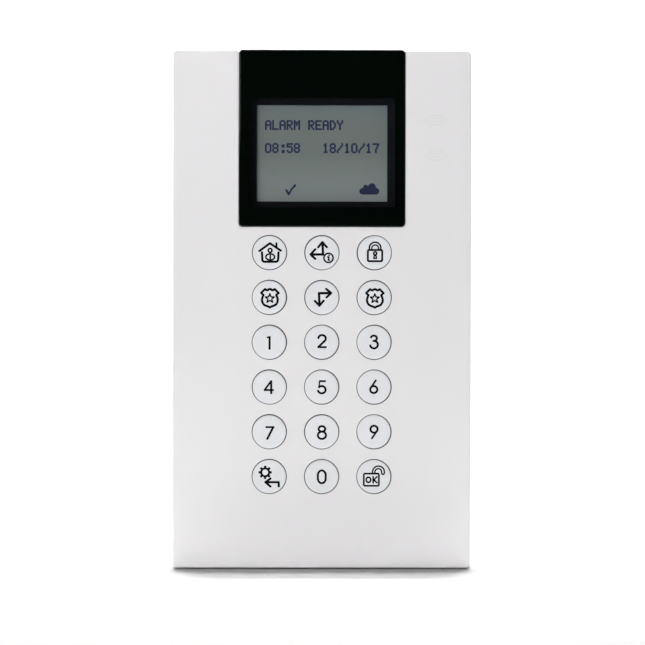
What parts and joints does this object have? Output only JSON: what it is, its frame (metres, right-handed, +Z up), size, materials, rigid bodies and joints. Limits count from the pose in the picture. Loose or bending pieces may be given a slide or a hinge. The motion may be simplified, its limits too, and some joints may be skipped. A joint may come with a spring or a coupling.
{
  "type": "alarm keypad",
  "caption": "Slim wall-mounted alarm keypad with a black display lens, round push keys, proximity reader, rear housing, tamper plunger and a slide-on wall bracket.",
  "frame": {"origin": "centre of the wall bracket's rear face, in the wall plane", "axes": "+Z up the keypad, +Y into the wall, so the display and keys face -Y; +X to the viewer's right"},
  "size_m": [0.0864, 0.0184, 0.1503],
  "materials": {
    "gloss_case": "glossy white moulded ABS",
    "satin_case": "satin white moulded ABS",
    "key_white": "semi-gloss white, printed black legend",
    "lens": "polished clear acrylic with a black printed back",
    "black_foam": "black foam tape",
    "black_metal": "matt black",
    "display_glass": "grey liquid-crystal glass",
    "light_guide": "frosted clear",
    "black_rubber": "layered conductive rubber",
    "silicone": "matt silicone",
    "board": "green solder mask",
    "copper": "enamelled copper wire",
    "black_plastic": "moulded black",
    "green_plastic": "moulded green",
    "grey_plastic": "moulded light grey",
    "steel": "zinc plated"
  },
  "bodies": {
    "bracket": {"wall_bracket": "satin_case"},
    "case": {"front_cover": "gloss_case", "rear_housing": "satin_case", "display_lens": "lens", "lens_adhesive": "black_foam", "lcd_bezel": "black_metal", "lcd_glass": "display_glass", "lcd_light_guide": "light_guide", "lcd_contact_strip": "black_rubber", "keymat": "silicone", "main_board": "board", "proximity_antenna": "copper", "buzzer": "black_plastic", "microcontroller": "black_plastic", "bus_terminal": "green_plastic", "tamper_switch": "black_plastic", "tamper_spring": "steel", "housing_screw_1": "steel", "housing_screw_2": "steel", "housing_screw_3": "steel", "housing_screw_4": "steel", "board_screw_1": "steel", "board_screw_2": "steel", "board_screw_3": "steel", "board_screw_4": "steel"},
    "key_home": {"key_home": "key_white"},
    "key_info": {"key_info": "key_white"},
    "key_arm": {"key_arm": "key_white"},
    "key_emergency_left": {"key_emergency_left": "key_white"},
    "key_scroll": {"key_scroll": "key_white"},
    "key_emergency_right": {"key_emergency_right": "key_white"},
    "key_1": {"key_1": "key_white"},
    "key_2": {"key_2": "key_white"},
    "key_3": {"key_3": "key_white"},
    "key_4": {"key_4": "key_white"},
    "key_5": {"key_5": "key_white"},
    "key_6": {"key_6": "key_white"},
    "key_7": {"key_7": "key_white"},
    "key_8": {"key_8": "key_white"},
    "key_9": {"key_9": "key_white"},
    "key_menu": {"key_menu": "key_white"},
    "key_0": {"key_0": "key_white"},
    "key_ok": {"key_ok": "key_white"},
    "tamper_plunger": {"tamper_plunger": "grey_plastic"},
    "screw_washer": {"captive_washer": "black_plastic"},
    "locking_screw": {"locking_screw": "steel"}
  },
  "joints": [
    {"name": "case_lift", "type": "slide", "parent": "bracket", "child": "case", "axis": [0, 0, 1], "range_m": [0, 0.005]},
    {"name": "press_home", "type": "slide", "parent": "case", "child": "key_home", "axis": [0, 1, 0], "range_m": [0, 0.001], "stiffness_N_per_m": 400, "deforming": ["keymat"]},
    {"name": "press_info", "type": "slide", "parent": "case", "child": "key_info", "axis": [0, 1, 0], "range_m": [0, 0.001], "stiffness_N_per_m": 400, "deforming": ["keymat"]},
    {"name": "press_arm", "type": "slide", "parent": "case", "child": "key_arm", "axis": [0, 1, 0], "range_m": [0, 0.001], "stiffness_N_per_m": 400, "deforming": ["keymat"]},
    {"name": "press_emergency_left", "type": "slide", "parent": "case", "child": "key_emergency_left", "axis": [0, 1, 0], "range_m": [0, 0.001], "stiffness_N_per_m": 400, "deforming": ["keymat"]},
    {"name": "press_scroll", "type": "slide", "parent": "case", "child": "key_scroll", "axis": [0, 1, 0], "range_m": [0, 0.001], "stiffness_N_per_m": 400, "deforming": ["keymat"]},
    {"name": "press_emergency_right", "type": "slide", "parent": "case", "child": "key_emergency_right", "axis": [0, 1, 0], "range_m": [0, 0.001], "stiffness_N_per_m": 400, "deforming": ["keymat"]},
    {"name": "press_1", "type": "slide", "parent": "case", "child": "key_1", "axis": [0, 1, 0], "range_m": [0, 0.001], "stiffness_N_per_m": 400, "deforming": ["keymat"]},
    {"name": "press_2", "type": "slide", "parent": "case", "child": "key_2", "axis": [0, 1, 0], "range_m": [0, 0.001], "stiffness_N_per_m": 400, "deforming": ["keymat"]},
    {"name": "press_3", "type": "slide", "parent": "case", "child": "key_3", "axis": [0, 1, 0], "range_m": [0, 0.001], "stiffness_N_per_m": 400, "deforming": ["keymat"]},
    {"name": "press_4", "type": "slide", "parent": "case", "child": "key_4", "axis": [0, 1, 0], "range_m": [0, 0.001], "stiffness_N_per_m": 400, "deforming": ["keymat"]},
    {"name": "press_5", "type": "slide", "parent": "case", "child": "key_5", "axis": [0, 1, 0], "range_m": [0, 0.001], "stiffness_N_per_m": 400, "deforming": ["keymat"]},
    {"name": "press_6", "type": "slide", "parent": "case", "child": "key_6", "axis": [0, 1, 0], "range_m": [0, 0.001], "stiffness_N_per_m": 400, "deforming": ["keymat"]},
    {"name": "press_7", "type": "slide", "parent": "case", "child": "key_7", "axis": [0, 1, 0], "range_m": [0, 0.001], "stiffness_N_per_m": 400, "deforming": ["keymat"]},
    {"name": "press_8", "type": "slide", "parent": "case", "child": "key_8", "axis": [0, 1, 0], "range_m": [0, 0.001], "stiffness_N_per_m": 400, "deforming": ["keymat"]},
    {"name": "press_9", "type": "slide", "parent": "case", "child": "key_9", "axis": [0, 1, 0], "range_m": [0, 0.001], "stiffness_N_per_m": 400, "deforming": ["keymat"]},
    {"name": "press_menu", "type": "slide", "parent": "case", "child": "key_menu", "axis": [0, 1, 0], "range_m": [0, 0.001], "stiffness_N_per_m": 400, "deforming": ["keymat"]},
    {"name": "press_0", "type": "slide", "parent": "case", "child": "key_0", "axis": [0, 1, 0], "range_m": [0, 0.001], "stiffness_N_per_m": 400, "deforming": ["keymat"]},
    {"name": "press_ok", "type": "slide", "parent": "case", "child": "key_ok", "axis": [0, 1, 0], "range_m": [0, 0.001], "stiffness_N_per_m": 400, "deforming": ["keymat"]},
    {"name": "tamper_press", "type": "slide", "parent": "case", "child": "tamper_plunger", "axis": [0, -1, 0], "range_m": [0, 0.0012], "stiffness_N_per_m": 250, "deforming": ["tamper_spring"]},
    {"name": "screw_travel", "type": "slide", "parent": "case", "child": "screw_washer", "axis": [0, 0, -1], "range_m": [0, 0.002]},
    {"name": "screw_turn", "type": "hinge", "parent": "screw_washer", "child": "locking_screw", "pos_m": [0, -0.006, -0.07], "axis": [0, 0, -1], "range_deg": [0, 1441]}
  ],
  "couplings": [
    {"joint": "screw_turn", "follows": "screw_travel", "rad_per_m": 12566}
  ]
}
